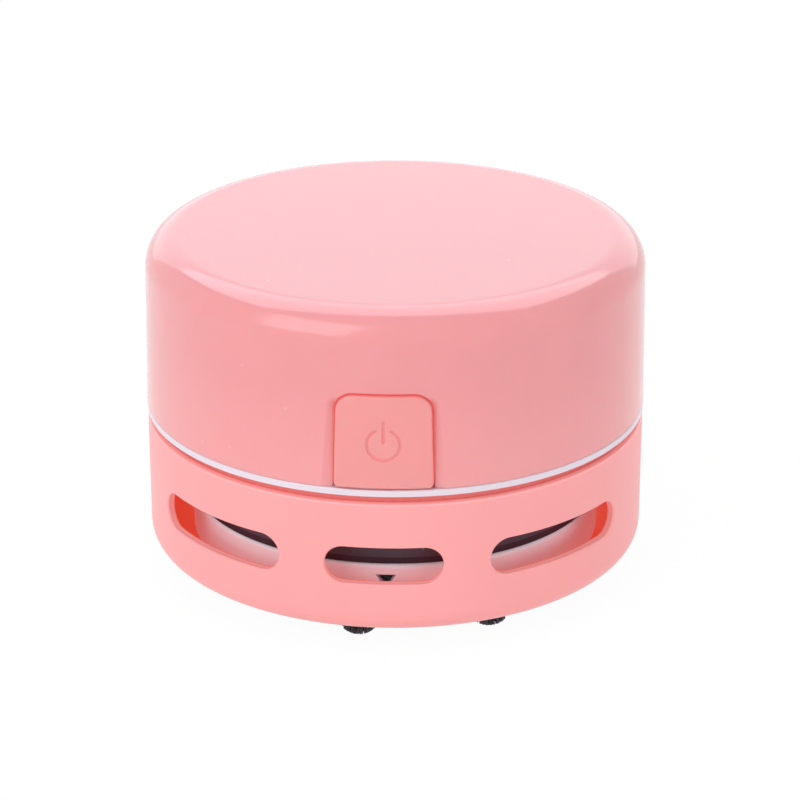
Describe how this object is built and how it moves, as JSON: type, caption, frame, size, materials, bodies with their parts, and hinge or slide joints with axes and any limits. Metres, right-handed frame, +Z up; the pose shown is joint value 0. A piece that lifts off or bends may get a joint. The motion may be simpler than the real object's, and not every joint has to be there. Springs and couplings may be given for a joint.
{
  "type": "desktop mini vacuum cleaner",
  "caption": "Round palm-size desktop vacuum cleaner with glossy push-on cover, push button at the front, twist-off base with exhaust windows and bristle tufts underneath.",
  "frame": {"origin": "centre of the round body on the surface it stands on, at the tips of the bristles", "axes": "+Z up along the axis of the round body, -Y towards the side with the power button, +X to the right seen from the front"},
  "size_m": [0.085, 0.0854, 0.0585],
  "materials": {
    "cover_pink": "glossy moulded pink plastic",
    "housing_pink": "fine satin moulded pink plastic",
    "button_pink": "satin moulded pink plastic",
    "trim_white": "glossy white plastic",
    "cup_white": "satin white plastic",
    "drum_plum": "dark plum plastic",
    "seal_black": "soft black rubber",
    "brush_black": "dark moulded plastic",
    "bristle_dark": "dark nylon bristles",
    "filter_cloth": "fine woven filter cloth",
    "screw_steel": "zinc plated steel",
    "motor_steel": "plated steel",
    "cap_nylon": "natural nylon",
    "contact_metal": "nickel plated spring steel",
    "bearing_bronze": "sintered bronze",
    "magnet_dark": "dark ferrite",
    "carbon_dark": "pressed carbon",
    "cell_jacket": "printed film over the can, left plain",
    "board_green": "lacquered circuit board",
    "switch_black": "black moulded plastic",
    "wire_red": "red insulation",
    "wire_black": "black insulation",
    "shaft_steel": "ground steel",
    "winding_copper": "enamelled copper",
    "impeller_white": "white moulded plastic"
  },
  "bodies": {
    "base": {"lower_housing": "housing_pink", "dust_cup": "cup_white", "cup_screws": "screw_steel", "brush_ring": "brush_black", "bristle_tufts": "bristle_dark"},
    "power_unit": {"chassis": "trim_white", "fan_housing": "drum_plum", "fan_housing_screws": "screw_steel", "cup_seal": "seal_black", "filter_frame": "cup_white", "filter_mesh": "filter_cloth", "intake_plate": "drum_plum", "motor_can": "motor_steel", "motor_end_cap": "cap_nylon", "motor_terminals": "contact_metal", "motor_bearings": "bearing_bronze", "motor_magnets": "magnet_dark", "motor_brushes": "carbon_dark", "motor_screws": "screw_steel", "front_battery": "cell_jacket", "rear_battery": "cell_jacket", "front_cell_spring": "contact_metal", "rear_cell_spring": "contact_metal", "link_plate": "contact_metal", "terminal_plates": "contact_metal", "switch_board": "board_green", "power_switch": "switch_black", "switch_wire": "wire_red", "motor_wire": "wire_red", "return_wire": "wire_black"},
    "rotor": {"motor_shaft": "shaft_steel", "armature_core": "motor_steel", "armature_windings": "winding_copper", "commutator": "winding_copper", "impeller": "impeller_white"},
    "button": {"power_button": "button_pink", "switch_plunger": "impeller_white"},
    "cover": {"top_cover": "cover_pink"}
  },
  "joints": [
    {"name": "base_twist", "type": "hinge", "parent": "base", "child": "power_unit", "pos_m": [0, 0, 0.025], "axis": [0, 0, 1], "range_deg": [0, 20]},
    {"name": "rotor_spin", "type": "hinge", "parent": "power_unit", "child": "rotor", "pos_m": [0, 0, 0.04], "axis": [0, 0, 1], "continuous": true},
    {"name": "button_press", "type": "slide", "parent": "power_unit", "child": "button", "axis": [0, 1, 0], "range_m": [0, 0.0012], "stiffness_N_per_m": 400, "springref_m": -0.0005},
    {"name": "cover_lift", "type": "slide", "parent": "power_unit", "child": "cover", "axis": [0, 0, 1], "range_m": [0, 0.035]}
  ]
}
